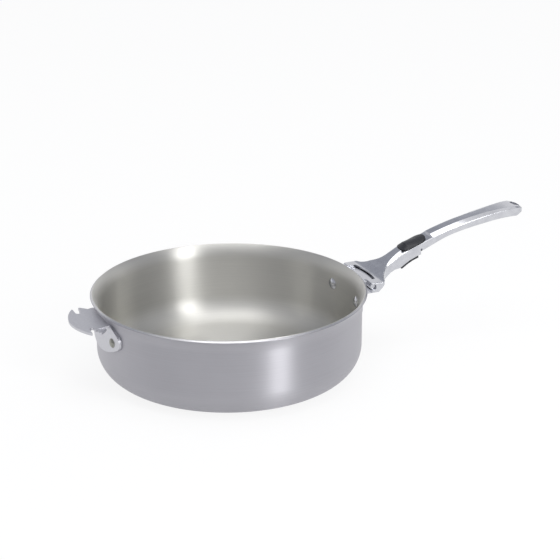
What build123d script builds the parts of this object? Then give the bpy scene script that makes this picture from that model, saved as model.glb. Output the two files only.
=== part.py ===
from build123d import *
from math import acos, cos, degrees, radians, sin, sqrt, tan
import os

os.makedirs("parts", exist_ok=True)

# Saucier pan with a release handle. Millimetres, +Z up, origin at the centre of the base,
# +X along the long handle. Heights named drop are measured down from the rim, and those
# named rise are measured up from it. Places named out are measured outwards from the wall.

# Pan body: three plies of sheet, drawn together
rim_height = 76.0
wall_r = 119.6
lip_overhang = 4.4
flare_r = 17.5
corner_r = 26.2
outer_ply = 0.5
core_ply = 1.5
inner_ply = 0.5
overrun = 30.0
seat_gap = 0.05

# Rivets: two on each side, with domed heads inside the pan
rivet_angle = 12.4
rivet_shank_r = 3.2
rivet_hole_r = 3.25
rivet_head_r = 5.3
rivet_head_dome = 2.2
rivet_tail_r = 4.3
rivet_tail_dome = 1.7
bracket_rivet_drop = 21.3
helper_rivet_drop = 23.2

# Helper handle: one piece of folded sheet
helper_sheet = 2.3
helper_out = 28.4
helper_drop = 9.6
helper_bend_out = 10.9
helper_root_drop = 7.9
helper_band_half = 23.0
helper_lobe_out = 17.0
helper_lobe_half = 31.5
helper_notch_out = 14.6
helper_notch_r = 2.8
helper_notch_end = 17.9
helper_prong_out = 9.8
helper_throat_out = 3.4
helper_throat_half = 24.5
helper_corner_r = 0.6
flange_half = 36.6
flange_shoulder_drop = 17.0
flange_shoulder_round = 7.0
flange_corner_drop = 26.2
flange_corner_round = 4.0
flange_foot_drop = 36.6

# Handle bracket: flange on the wall, ledge under the lip, two webs and a keeper rib
bracket_sheet = 2.2
bracket_foot_drop = 31.5
bracket_half_angle = 16.8
bracket_foot_round = 8.0
ledge_out = 17.2
ledge_side_out = 14.7
ledge_half = 20.2
ledge_drop = 6.0
ledge_thick = 2.5
web_inner = 12.0
web_out = 15.4
web_foot_drop = 17.5
rib_front_out = 11.6
rib_thick = 3.2
rib_foot_drop = 12.0

# Bracket pins, which the hooked jaws of the handle grip
pin_out = 10.0
pin_drop = 7.8
pin_r = 2.2
pin_collar_r = 2.7
pin_collar_start = 20.4
pin_end = 28.6
pin_root = 13.2
pin_fit = 0.02
jaw_fit = 0.08

# Handle head: a wing with a hooked jaw on each side of the bracket
arc_gap = 1.5
side_gap = 0.4
chin_gap = 0.4
head_top_drop = 3.8
jaw_tip_out = 7.6
jaw_foot_drop = 13.0
jaw_bevel_front_out = 15.4
jaw_bevel_rise = 6.6
wing_half = 30.6
wing_corner_out = 21.6
wing_front_round = 2.6
wing_rear_round = 3.0
wing_waist_out = 26.0
wing_waist_half = 19.4
head_neck_out = 31.4
head_neck_half = 12.6
ramp_start_out = 20.9
ramp_angle = 31.0
ramp_round = 10.0
chin_foot_drop = 16.8
chin_rear_out = 28.4
chin_front_half = 15.4
head_round = 0.9

# Arm of the handle: stations from the head to the tip, as shares of these sizes. Each gives
# its place, height of the top, thickness, half width, half width of the flat top, and the
# depth of the bevel beside that flat.
arm_start_out = 26.4
arm_length = 153.2
arm_rise = 43.0
arm_thick = 10.0
arm_half = 10.0
arm_bevel = 2.5
arm_foot_bevel = 1.5
arm_round = 0.7
arm_station_shares = [
    (0.000, -0.012, 1.00, 1.76, 1.67, 0.36),
    (0.033, 0.058, 1.05, 1.26, 1.12, 0.44),
    (0.072, 0.142, 1.02, 0.99, 0.68, 0.76),
    (0.131, 0.277, 1.00, 0.90, 0.49, 0.96),
    (0.196, 0.393, 1.06, 0.90, 0.48, 1.00),
    (0.274, 0.500, 1.12, 0.91, 0.48, 1.04),
    (0.352, 0.605, 1.08, 0.92, 0.48, 1.04),
    (0.444, 0.709, 0.94, 0.93, 0.48, 1.08),
    (0.548, 0.804, 0.90, 0.95, 0.48, 1.04),
    (0.679, 0.893, 0.90, 1.00, 0.49, 0.76),
    (0.796, 0.958, 0.90, 1.06, 0.64, 0.62),
    (0.888, 0.993, 0.93, 1.10, 0.86, 0.54),
    (0.953, 0.993, 0.94, 1.10, 0.92, 0.48),
    (1.000, 0.970, 0.92, 1.08, 0.92, 0.46),
]
tip_round_share = 0.95
tip_side_r = 5.4
tip_side_rise = 36.8
eye_inset = 6.4
eye_half_length = 5.6
eye_r = 3.2
eye_rise = 42.0
eye_tilt = -4.0

# Latch housing: the lower shell under the neck, open below for the lever and trigger
housing_half = 7.6
housing_wall = 1.8
housing_front_out = 32.9
housing_rear_out = 70.6
seam_front_drop = 4.4
seam_bend_out = 58.0
seam_bend_rise = 9.9
seam_rear_rise = 14.5
seam_gap = 0.05
housing_belly_shares = [
    (0.000, -0.312),
    (0.080, -0.236),
    (0.191, -0.138),
    (0.302, -0.094),
    (0.427, -0.076),
    (0.549, 0.003),
    (0.684, 0.087),
    (0.905, 0.178),
    (1.000, 0.202),
]
housing_round = 1.2
bay_front_out = 50.6
bay_rear_out = 69.2
screw_out = 40.9
screw_side = 5.3
screw_drop = 4.9
screw_tilt = 29.7
screw_shank_r = 1.0
screw_head_r = 1.75
screw_head_high = 1.1
screw_length = 9.0
screw_fit = 0.03

# Latch lever and trigger, which turn together on one pin
pivot_out = 48.4
pivot_rise = 2.0
pivot_pin_r = 1.25
pivot_pin_half = 6.7
pivot_fit = 0.05
lever_half = 2.8
slot_half = 3.1
boss_r = 2.7
elbow_out = 22.4
elbow_drop = 14.2
elbow_r = 1.8
nose_clear = 0.4
nose_set = 0.56
nose_rise = 2.0
nose_run = 3.0
nose_top = 1.6
nose_front_out = 5.6
tongue_thick = 1.5
tongue_start_out = 49.9
tongue_start_rise = 3.4
tongue_end_out = 66.6
tongue_end_rise = 6.8
trigger_half = 5.4
trigger_front_out = 51.6
trigger_rear_out = 68.6
trigger_top_clear = 0.2
trigger_belly_shares = [
    (0.00, -0.118),
    (0.30, -0.026),
    (0.63, 0.056),
    (0.90, 0.100),
    (1.00, 0.113),
]
trigger_rivet_out = 61.9
trigger_rivet_rise = 2.6
trigger_rivet_r = 1.0
trigger_rivet_head_r = 1.8
trigger_rivet_head_high = 0.9
trigger_rivet_length = 3.5

# Thumb slider on the neck, with its stem, retainer and spring
slope_out = 65.4
slope_rise = 18.2
slope_angle = 20.5
seat_front = -15.8
seat_rear = 16.7
roof_thick = 2.6
bay_wall_front_out = 52.8
seat_half = 7.8
seat_bevel_angle = 29.0
slider_lift = 0.35
slider_front = -15.0
slider_rear = 12.2
slider_half = 8.8
slider_crown = 4.1
slider_edge = 0.8
slider_crown_shares = [
    (0.00, 0.38),
    (0.24, 1.00),
    (0.52, 0.70),
    (0.67, 0.54),
    (1.00, 0.42),
]
slider_front_corner_r = 5.6
slider_rear_corner_r = 8.4
stem_centre = -5.0
stem_half_length = 2.0
stem_half = 2.2
stem_round = 1.1
slider_travel = 4.0
slider_fit = 0.3
retainer_thick = 1.4
retainer_front = -10.0
retainer_rear = -2.9
retainer_half = 4.8
foot_length = 2.6
foot_drop = 2.0
slider_screw_r = 1.0
slider_screw_head_r = 1.7
slider_screw_head_high = 0.9
slider_screw_length = 4.2

# Springs
spring_wire_r = 0.3
slider_spring_r = 1.0
slider_spring_turns = 4
slider_spring_depth = 5.75
slider_spring_end = 0.6
latch_spring_r = 1.6
latch_spring_turns = 4
latch_spring_out = 55.0
latch_spring_top_gap = 0.1

# Worked out from the values above
lip_r = wall_r + lip_overhang
wall_thick = outer_ply + core_ply + inner_ply
flare_angle = degrees(acos(1 - lip_overhang / flare_r))
flare_start = rim_height - (flare_r + wall_thick) * sin(radians(flare_angle))
corner_x = wall_r - corner_r
slope = radians(slope_angle)
helper_reach = wall_r + helper_out
helper_bend_x = wall_r + helper_bend_out
helper_lobe_x = wall_r + helper_lobe_out
helper_notch_x = wall_r + helper_notch_out
helper_prong_x = wall_r + helper_prong_out
helper_throat_x = wall_r + helper_throat_out
ledge_reach = wall_r + ledge_out
ledge_side_x = wall_r + ledge_side_out
web_reach = wall_r + web_out
rib_front_x = wall_r + rib_front_out
pin_x = wall_r + pin_out
jaw_tip_x = wall_r + jaw_tip_out
wing_corner_x = wall_r + wing_corner_out
wing_waist_x = wall_r + wing_waist_out
jaw_bevel_front_x = wall_r + jaw_bevel_front_out
head_neck_x = wall_r + head_neck_out
ramp_start_x = wall_r + ramp_start_out
chin_rear_x = wall_r + chin_rear_out
arm_start_x = wall_r + arm_start_out
housing_front_x = wall_r + housing_front_out
housing_rear_x = wall_r + housing_rear_out
seam_bend_x = wall_r + seam_bend_out
bay_front_x = wall_r + bay_front_out
bay_rear_x = wall_r + bay_rear_out
screw_x = wall_r + screw_out
pivot_x = wall_r + pivot_out
elbow_x = wall_r + elbow_out
nose_front_x = wall_r + nose_front_out
tongue_start_x = wall_r + tongue_start_out
tongue_end_x = wall_r + tongue_end_out
trigger_front_x = wall_r + trigger_front_out
trigger_rear_x = wall_r + trigger_rear_out
trigger_rivet_x = wall_r + trigger_rivet_out
slope_x = wall_r + slope_out
bay_wall_front_x = wall_r + bay_wall_front_out
latch_spring_x = wall_r + latch_spring_out
tip_x = arm_start_x + arm_length
eye_x = tip_x - eye_inset
neck_plane = Plane(
    origin=(slope_x, 0, rim_height + slope_rise),
    x_dir=(cos(slope), 0, sin(slope)),
    z_dir=(-sin(slope), 0, cos(slope)),
)
neck_side = Plane(origin=neck_plane.origin, x_dir=neck_plane.x_dir, z_dir=(0, -1, 0))
neck_across = Plane(origin=neck_plane.origin, x_dir=(0, 1, 0), z_dir=neck_plane.x_dir)
eye_plane = Plane(
    origin=(eye_x, 0, rim_height + eye_rise),
    z_dir=(sin(radians(eye_tilt)), 0, cos(radians(eye_tilt))),
)


def rise(height):
    """Height above the base of a point that lies this far above the rim."""
    return rim_height + height


def radial_plane(angle, radius, height):
    """Plane square to a radius of the pan: x runs round the wall and y runs up."""
    a = radians(angle)
    return Plane(
        origin=(radius * cos(a), radius * sin(a), height),
        x_dir=(-sin(a), cos(a), 0),
        z_dir=(cos(a), sin(a), 0),
    )


def wall_section(outside, inside):
    """Half section of a ply that lies between two depths below the outer surface."""
    with BuildSketch(Plane.XZ) as section:
        with BuildLine():
            for depth in (outside, inside):
                Line((0, depth), (corner_x, depth))
                CenterArc((corner_x, corner_r), corner_r - depth, 270, 90)
                Line((wall_r - depth, corner_r), (wall_r - depth, flare_start))
                CenterArc((wall_r + flare_r, flare_start), flare_r + depth, 180, -flare_angle)
            Line((0, outside), (0, inside))
            Line(lip_point(outside), lip_point(inside))
        make_face()
    return section.sketch


def lip_point(depth):
    """End of the flare at this depth below the outer surface."""
    reach = flare_r + depth
    a = radians(flare_angle)
    return (wall_r + flare_r - reach * cos(a), flare_start + reach * sin(a))


def cut_rivet_holes(start, length):
    """Rivet holes through a wall of the current part, on both sides of the pan."""
    for side, drop in ((0, bracket_rivet_drop), (180, helper_rivet_drop)):
        for turn in (-rivet_angle, rivet_angle):
            with BuildSketch(radial_plane(side + turn, start, rise(-drop))) as hole:
                Circle(rivet_hole_r)
            extrude(hole.sketch, amount=length, mode=Mode.SUBTRACT)


def cap_height(radius, dome):
    """Height of a spherical cap of this radius and dome, half way out from its axis."""
    ball_r = (radius**2 + dome**2) / (2 * dome)
    return sqrt(ball_r**2 - radius**2 / 4) - (ball_r - dome)


def add_rivet(angle, height, carried):
    """Rivet with a domed head inside the pan and a tail on the piece that it carries."""
    a = radians(angle)
    inside_r = wall_r - wall_thick
    head_seat = sqrt(inside_r**2 - rivet_head_r**2) - seat_gap
    tail_seat = wall_r + seat_gap + carried + seat_gap
    axis_plane = Plane(
        origin=(0, 0, height),
        x_dir=(cos(a), sin(a), 0),
        z_dir=(sin(a), -cos(a), 0),
    )
    with BuildSketch(axis_plane) as section:
        with BuildLine():
            crown = (head_seat - rivet_head_dome, 0)
            head_way = head_seat - cap_height(rivet_head_r, rivet_head_dome)
            ThreePointArc(crown, (head_way, rivet_head_r / 2), (head_seat, rivet_head_r))
            Polyline(
                (head_seat, rivet_head_r),
                (head_seat, rivet_shank_r),
                (tail_seat, rivet_shank_r),
                (tail_seat, rivet_tail_r),
            )
            tail_way = tail_seat + cap_height(rivet_tail_r, rivet_tail_dome)
            tail_end = (tail_seat + rivet_tail_dome, 0)
            ThreePointArc((tail_seat, rivet_tail_r), (tail_way, rivet_tail_r / 2), tail_end)
            Line(tail_end, crown)
        make_face()
    revolve(section.sketch, axis=Axis((0, 0, height), (cos(a), sin(a), 0)))


def cut_pan():
    """Take the pan's own space, with a seat gap, out of a piece that hugs its wall."""
    with BuildSketch(Plane.XZ) as section:
        with BuildLine():
            skin = -seat_gap
            Line((0, skin), (corner_x, skin))
            CenterArc((corner_x, corner_r), corner_r - skin, 270, 90)
            Line((wall_r - skin, corner_r), (wall_r - skin, flare_start))
            CenterArc((wall_r + flare_r, flare_start), flare_r + skin, 180, -flare_angle)
            edge = lip_point(skin)
            Polyline(edge, (edge[0], rim_height + overrun), (0, rim_height + overrun), (0, skin))
        make_face()
    revolve(section.sketch, axis=Axis.Z, mode=Mode.SUBTRACT)


def seam_points(gap):
    """Joint line between the handle casting and the latch housing, front to rear."""
    return [
        (housing_front_x - gap, rise(-seam_front_drop + gap)),
        (seam_bend_x, rise(seam_bend_rise + gap)),
        (housing_rear_x + gap, rise(seam_rear_rise + gap)),
    ]


def seam_z(x):
    """Height of the joint line between casting and housing at this place along the handle."""
    front, bend, rear = seam_points(0)
    start, end = (front, bend) if x < bend[0] else (bend, rear)
    return start[1] + (x - start[0]) * (end[1] - start[1]) / (end[0] - start[0])


def add_coil(plane, radius, wire_r, turns, length):
    """Compression spring: one round wire wound on a helix along the plane's axis."""
    helix = plane.from_local_coords(Helix(length / turns, length, radius, mode=Mode.PRIVATE))
    with BuildSketch(Plane(origin=helix @ 0, z_dir=helix % 0)) as wire:
        Circle(wire_r)
    sweep(wire.sketch, path=helix, is_frenet=True)


# The three plies of the pan body

with BuildPart() as outer_steel_ply:
    revolve(wall_section(0, outer_ply), axis=Axis.Z)
    cut_rivet_holes(wall_r - overrun, overrun + overrun)
outer_steel_ply.part.label = "outer_steel_ply"
export_step(outer_steel_ply.part, "parts/outer_steel_ply.step")

with BuildPart() as aluminium_core:
    revolve(wall_section(outer_ply, outer_ply + core_ply), axis=Axis.Z)
    cut_rivet_holes(wall_r - overrun, overrun + overrun)
aluminium_core.part.label = "aluminium_core"
export_step(aluminium_core.part, "parts/aluminium_core.step")

with BuildPart() as inner_steel_ply:
    revolve(wall_section(outer_ply + core_ply, wall_thick), axis=Axis.Z)
    cut_rivet_holes(wall_r - overrun, overrun + overrun)
inner_steel_ply.part.label = "inner_steel_ply"
export_step(inner_steel_ply.part, "parts/inner_steel_ply.step")

# Helper handle: a wall flange that folds out under the lip into a notched crescent

with BuildPart() as helper_handle:
    flange_outer = wall_r + seat_gap + helper_sheet
    with BuildSketch(Plane.XY.offset(rise(-flange_foot_drop))):
        Circle(flange_outer)
        Circle(wall_r, mode=Mode.SUBTRACT)
    extrude(amount=flange_foot_drop - helper_root_drop)
    with BuildSketch(Plane.YZ.offset(-lip_r - overrun)) as shield:
        shoulder_z = rise(-flange_shoulder_drop)
        corner_z = rise(-flange_corner_drop)
        with BuildLine():
            Polyline(
                (-flange_half, corner_z),
                (-flange_half, shoulder_z),
                (-helper_band_half, rise(-helper_root_drop)),
                (-helper_band_half, rise(0)),
                (helper_band_half, rise(0)),
                (helper_band_half, rise(-helper_root_drop)),
                (flange_half, shoulder_z),
                (flange_half, corner_z),
            )
            ThreePointArc((flange_half, corner_z), (0, rise(-flange_foot_drop)), (-flange_half, corner_z))
        make_face()
        shoulders = shield.vertices().filter_by(lambda v: abs(v.Y - shoulder_z) < seat_gap)
        fillet(shoulders, flange_shoulder_round)
        corners = shield.vertices().filter_by(lambda v: abs(v.Y - corner_z) < seat_gap)
        fillet(corners, flange_corner_round)
    extrude(amount=lip_r + overrun, mode=Mode.INTERSECT)
    with BuildSketch(Plane.XZ.offset(-helper_band_half)):
        with BuildLine():
            root_x = wall_r - helper_sheet
            plate_top = rise(-helper_drop)
            Polyline(
                (-root_x, rise(-helper_root_drop)),
                (-flange_outer, rise(-helper_root_drop)),
                (-helper_bend_x, plate_top),
                (-helper_bend_x - helper_sheet, plate_top),
                (-helper_bend_x - helper_sheet, plate_top - helper_sheet),
                (-helper_bend_x, plate_top - helper_sheet),
                (-flange_outer, rise(-helper_root_drop) - helper_sheet),
                (-root_x, rise(-helper_root_drop) - helper_sheet),
                close=True,
            )
        make_face()
    extrude(amount=2 * helper_band_half)
    with BuildSketch(Plane.XY.offset(rise(-helper_drop) - helper_sheet)) as crescent:
        with BuildLine():
            for side in (1, -1):
                ThreePointArc(
                    (-helper_reach, 0),
                    (-helper_reach + (helper_reach - helper_lobe_x) / 4, side * helper_lobe_half / 2),
                    (-helper_lobe_x, side * helper_lobe_half),
                )
                Polyline(
                    (-helper_lobe_x, side * helper_lobe_half),
                    (-helper_prong_x, side * helper_lobe_half),
                    (-helper_throat_x, side * helper_throat_half),
                    (-helper_throat_x, 0),
                )
        make_face()
        for side in (1, -1):
            notch_length = helper_lobe_half - helper_notch_end
            with Locations((-helper_notch_x, side * (helper_notch_end + notch_length))):
                SlotOverall(2 * notch_length, 2 * helper_notch_r, rotation=90, mode=Mode.SUBTRACT)
        notch_middle = helper_notch_end + notch_length / 2
        outer_corners = crescent.vertices().filter_by(lambda v: abs(v.Y) > notch_middle)
        fillet(outer_corners, helper_corner_r)
    extrude(amount=helper_sheet)
    cut_pan()
    cut_rivet_holes(overrun, lip_r)
helper_handle.part.label = "helper_handle"
export_step(helper_handle.part, "parts/helper_handle.step")

with BuildPart() as helper_rivets:
    for turn in (-rivet_angle, rivet_angle):
        add_rivet(180 + turn, rise(-helper_rivet_drop), helper_sheet)
helper_rivets.part.label = "helper_rivets"
export_step(helper_rivets.part, "parts/helper_rivets.step")

# Handle bracket: a cast piece riveted under the lip, with a ledge, webs and a keeper rib

arc_sagitta = ledge_reach - ledge_side_x
arc_r = (ledge_half**2 + arc_sagitta**2) / (2 * arc_sagitta)
arc_centre_x = ledge_reach - arc_r

with BuildPart() as handle_bracket:
    flange_outer = wall_r + seat_gap + bracket_sheet
    with BuildSketch(Plane.XY.offset(rise(-bracket_foot_drop))):
        Circle(flange_outer)
        Circle(wall_r, mode=Mode.SUBTRACT)
    extrude(amount=bracket_foot_drop - ledge_drop - ledge_thick)
    flange_wide = 2 * flange_outer * sin(radians(bracket_half_angle))
    flange_high = bracket_foot_drop + bracket_foot_drop
    with BuildSketch(Plane.YZ):
        with Locations((0, rise(0))):
            RectangleRounded(flange_wide, flange_high, bracket_foot_round)
    extrude(amount=lip_r + overrun, mode=Mode.INTERSECT)
    with BuildSketch(Plane.XY.offset(rise(-ledge_drop) - ledge_thick)):
        with Locations((arc_centre_x, 0)):
            Circle(arc_r)
        with Locations((wall_r - wall_thick, 0)):
            Rectangle(overrun, 2 * ledge_half, align=(Align.MIN, Align.CENTER), mode=Mode.INTERSECT)
    extrude(amount=ledge_thick)
    for side in (1, -1):
        with BuildSketch(Plane.XZ.offset(-side * web_inner)):
            with BuildLine():
                Polyline(
                    (wall_r - wall_thick, rise(-web_foot_drop)),
                    (web_reach, rise(-web_foot_drop)),
                    (web_reach, rise(-ledge_drop) - ledge_thick),
                    (ledge_side_x - ledge_thick, rise(-ledge_drop)),
                    (wall_r - wall_thick, rise(-ledge_drop)),
                    close=True,
                )
            make_face()
        extrude(amount=side * (web_inner - ledge_half))
    with BuildSketch(Plane.XZ.offset(-web_inner)):
        with Locations((rib_front_x, rise(-rib_foot_drop))):
            rib_high = rib_foot_drop - ledge_drop
            Rectangle(rib_thick, rib_high, align=(Align.MIN, Align.MIN))
    extrude(amount=2 * web_inner)
    cut_pan()
    cut_rivet_holes(overrun, lip_r)
    for side in (1, -1):
        with BuildSketch(Plane.XZ.offset(-side * ledge_half)):
            with Locations((pin_x, rise(-pin_drop))):
                Circle(pin_r + pin_fit)
        extrude(amount=side * (ledge_half - pin_root), mode=Mode.SUBTRACT)
handle_bracket.part.label = "handle_bracket"
export_step(handle_bracket.part, "parts/handle_bracket.step")

with BuildPart() as bracket_rivets:
    for turn in (-rivet_angle, rivet_angle):
        add_rivet(turn, rise(-bracket_rivet_drop), bracket_sheet)
bracket_rivets.part.label = "bracket_rivets"
export_step(bracket_rivets.part, "parts/bracket_rivets.step")

with BuildPart() as bracket_pins:
    for side in (1, -1):
        with BuildSketch(Plane.XZ.offset(-side * pin_end)):
            with Locations((pin_x, rise(-pin_drop))):
                Circle(pin_r)
        extrude(amount=side * (pin_end - pin_root))
        with BuildSketch(Plane.XZ.offset(-side * pin_end)):
            with Locations((pin_x, rise(-pin_drop))):
                Circle(pin_collar_r)
        extrude(amount=side * (pin_end - pin_collar_start))
    chamfer(bracket_pins.edges().filter_by(GeomType.CIRCLE).group_by(Axis.Y)[0], pin_r / 6)
    chamfer(bracket_pins.edges().filter_by(GeomType.CIRCLE).group_by(Axis.Y)[-1], pin_r / 6)
bracket_pins.part.label = "bracket_pins"
export_step(bracket_pins.part, "parts/bracket_pins.step")

# Handle casting: head with two hooked jaws, neck and arm in one piece


def head_outline():
    """Plan of the head: concave front arc, jaws beside the bracket and a drawn-in waist."""
    jaw_inner = ledge_half + side_gap
    front_r = arc_r + arc_gap
    arc_end_x = arc_centre_x + sqrt(front_r**2 - jaw_inner**2)
    with BuildSketch(Plane.XY.offset(rise(-jaw_foot_drop))) as outline:
        with BuildLine():
            for side in (1, -1):
                RadiusArc(
                    (arc_centre_x + front_r, 0),
                    (arc_end_x, side * jaw_inner),
                    -side * front_r,
                )
                Polyline(
                    (arc_end_x, side * jaw_inner),
                    (jaw_tip_x, side * jaw_inner),
                    (jaw_tip_x, side * wing_half),
                    (wing_corner_x, side * wing_half),
                )
                ThreePointArc(
                    (wing_corner_x, side * wing_half),
                    (wing_waist_x, side * wing_waist_half),
                    (head_neck_x, side * head_neck_half),
                )
            Line((head_neck_x, head_neck_half), (head_neck_x, -head_neck_half))
        make_face()
        corners = outline.vertices().filter_by(lambda v: abs(abs(v.Y) - wing_half) < seat_gap)
        fillet(corners.filter_by(lambda v: v.X < pin_x), wing_front_round)
        corners = outline.vertices().filter_by(lambda v: abs(abs(v.Y) - wing_half) < seat_gap)
        fillet(corners.filter_by(lambda v: v.X > wing_corner_x - seat_gap), wing_rear_round)
    return outline.sketch


def head_side():
    """Side of the head: level over the jaws, then a ramp that climbs to the neck."""
    a = radians(ramp_angle)
    ramp_length = head_neck_x - ramp_start_x
    with BuildSketch(Plane.XZ.offset(-wing_half - overrun)) as side:
        with BuildLine():
            Polyline(
                (jaw_tip_x - overrun, rise(-head_top_drop)),
                (ramp_start_x, rise(-head_top_drop)),
                (head_neck_x, rise(-head_top_drop) + ramp_length * tan(a)),
                (head_neck_x, rise(-jaw_bevel_rise)),
                (wing_corner_x, rise(-jaw_bevel_rise)),
                (jaw_bevel_front_x, rise(-jaw_foot_drop)),
                (jaw_tip_x - overrun, rise(-jaw_foot_drop)),
                close=True,
            )
        make_face()
        ramp_foot = (ramp_start_x, rise(-head_top_drop), 0)
        fillet(side.vertices().sort_by_distance(ramp_foot)[0], ramp_round)
    return side.sketch


def below_seam(gap):
    """Everything under the joint line with the latch housing, as an XZ sketch."""
    points = seam_points(gap)
    with BuildSketch(Plane.XZ.offset(-wing_half - overrun)) as below:
        with BuildLine():
            Polyline(
                *points,
                (points[-1][0], rim_height - overrun),
                (points[0][0], rim_height - overrun),
                close=True,
            )
        make_face()
    return below.sketch


def screw_planes():
    """Planes at the outer faces of the housing screw heads, looking into the casting."""
    a = radians(screw_tilt)
    return [
        Plane(
            origin=(screw_x, side * screw_side, rise(-screw_drop)),
            x_dir=(0, 1, 0),
            z_dir=(-sin(a), 0, cos(a)),
        )
        for side in (1, -1)
    ]


def slope_z(x, depth):
    """Height of the sloped neck face, less a depth measured square to it."""
    return rise(slope_rise) + (x - slope_x) * tan(slope) - depth / cos(slope)


with BuildPart() as head:
    extrude(head_outline(), amount=2 * overrun)
    extrude(head_side(), amount=2 * (wing_half + overrun), mode=Mode.INTERSECT)
    jaw_side = ledge_half + side_gap + seat_gap
    crown = head.edges().filter_by(lambda e: e.center().Z > rise(-head_top_drop) - seat_gap)
    crown = crown.filter_by(lambda e: abs((e @ 0).X - (e @ 1).X) > seat_gap)
    arc_rear = ledge_reach + arc_gap
    outer_crown = crown.filter_by(lambda e: abs(e.center().Y) > jaw_side or e.center().X > arc_rear)
    fillet(outer_crown, head_round)

chin_front_x = web_reach + chin_gap

with BuildPart() as chin:
    with BuildSketch(Plane.XZ.offset(-ledge_half + side_gap)):
        with BuildLine():
            chin_top = rise(-ledge_drop) - ledge_thick - chin_gap
            Polyline(
                (chin_front_x, chin_top),
                (chin_front_x, rise(-chin_foot_drop)),
                (chin_rear_x, rise(-chin_foot_drop)),
                (housing_front_x, rise(-jaw_foot_drop)),
                (housing_front_x, chin_top),
                close=True,
            )
        make_face()
    extrude(amount=2 * (ledge_half - side_gap))
    with BuildSketch(Plane.XY):
        with BuildLine():
            Polyline(
                (chin_front_x, chin_front_half),
                (wing_waist_x, chin_front_half),
                (housing_front_x, housing_half),
                (housing_front_x, -housing_half),
                (wing_waist_x, -chin_front_half),
                (chin_front_x, -chin_front_half),
                close=True,
            )
        make_face()
    extrude(amount=rim_height, mode=Mode.INTERSECT)

with BuildPart() as handle_casting:
    for along, top, thick, half, flat, bevel in arm_station_shares:
        crest = rise(top * arm_rise)
        foot = crest - thick * arm_thick
        shoulder = crest - bevel * arm_bevel
        wide = half * arm_half
        flat_half = flat * arm_half
        with BuildSketch(Plane.YZ.offset(arm_start_x + along * arm_length)) as station:
            with BuildLine():
                Polyline(
                    (flat_half, crest),
                    (wide, shoulder),
                    (wide, foot + arm_foot_bevel),
                    (wide - arm_foot_bevel, foot),
                    (arm_foot_bevel - wide, foot),
                    (-wide, foot + arm_foot_bevel),
                    (-wide, shoulder),
                    (-flat_half, crest),
                    close=True,
                )
            make_face()
            fillet(station.vertices(), arm_round * bevel)
    loft()
    with BuildSketch(Plane.XY):
        with Locations((tip_x - overrun, 0)):
            tip_half = arm_half * arm_station_shares[-3][3]
            RectangleRounded(2 * overrun, 2 * tip_half, tip_half * tip_round_share)
        with Locations((tip_x - overrun, 0)):
            Rectangle(tip_x, 2 * wing_half, align=(Align.MAX, Align.CENTER))
    extrude(amount=2 * rim_height, mode=Mode.INTERSECT)
    with BuildSketch(Plane.XZ.offset(-wing_half)):
        with Locations((tip_x - tip_side_r, rise(tip_side_rise))):
            Circle(tip_side_r)
            Rectangle(tip_x, 2 * rim_height, align=(Align.MAX, Align.CENTER))
    extrude(amount=2 * wing_half, mode=Mode.INTERSECT)
    add(head.part)
    add(chin.part)
    extrude(below_seam(seam_gap), amount=2 * (wing_half + overrun), mode=Mode.SUBTRACT)
    for side in (1, -1):
        jaw_r = pin_collar_r + jaw_fit
        with BuildSketch(Plane.XZ.offset(-side * (ledge_half + seat_gap))):
            with Locations((pin_x, rise(-pin_drop))):
                Circle(jaw_r)
                Rectangle(overrun, 2 * jaw_r, align=(Align.MAX, Align.CENTER))
        extrude(amount=-side * overrun, mode=Mode.SUBTRACT)
    with BuildSketch(Plane.XZ.offset(-slot_half)):
        with BuildLine():
            slot_roof = elbow_drop - elbow_r - nose_clear
            Polyline(
                (chin_front_x - overrun, rise(-slot_roof)),
                (elbow_x - elbow_r - nose_clear, rise(-slot_roof)),
                (pivot_x - boss_r, rise(pivot_rise + boss_r + nose_clear)),
                (bay_wall_front_x, rise(tongue_start_rise + boss_r)),
                (bay_wall_front_x, rim_height - overrun),
                (chin_front_x - overrun, rim_height - overrun),
                close=True,
            )
        make_face()
    extrude(amount=2 * slot_half, mode=Mode.SUBTRACT)
    with BuildSketch(Plane.XZ.offset(-housing_half + housing_wall)):
        with BuildLine():
            Polyline(
                (bay_wall_front_x, rise(0)),
                (bay_wall_front_x, slope_z(bay_wall_front_x, roof_thick)),
                (bay_rear_x, slope_z(bay_rear_x, roof_thick)),
                (bay_rear_x, rise(0)),
                close=True,
            )
        make_face()
    extrude(amount=2 * (housing_half - housing_wall), mode=Mode.SUBTRACT)
    with BuildSketch(neck_across.offset(seat_front)):
        with BuildLine():
            seat_drop = (wing_half - seat_half) * tan(radians(seat_bevel_angle))
            Polyline(
                (-wing_half, -seat_drop),
                (-seat_half, 0),
                (seat_half, 0),
                (wing_half, -seat_drop),
                (wing_half, overrun / 3),
                (-wing_half, overrun / 3),
                close=True,
            )
        make_face()
    extrude(amount=seat_rear - seat_front, mode=Mode.SUBTRACT)
    with BuildSketch(neck_plane):
        slot_length = 2 * (stem_half_length + slider_fit) + slider_travel
        with Locations((stem_centre + slider_travel / 2, 0)):
            RectangleRounded(slot_length, 2 * (stem_half + slider_fit), stem_round)
    extrude(amount=-roof_thick - seat_gap, mode=Mode.SUBTRACT)
    with BuildSketch(eye_plane):
        SlotOverall(2 * eye_half_length, 2 * eye_r, rotation=90)
    extrude(amount=overrun / 2, both=True, mode=Mode.SUBTRACT)
    with BuildSketch(*screw_planes()):
        Circle(screw_shank_r + screw_fit)
    extrude(amount=screw_length + screw_fit, mode=Mode.SUBTRACT)
handle_casting.part.label = "handle_casting"
export_step(handle_casting.part, "parts/handle_casting.step")

# Latch housing: a shell open below, with a solid front block slotted for the lever

housing_length = housing_rear_x - housing_front_x

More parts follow.
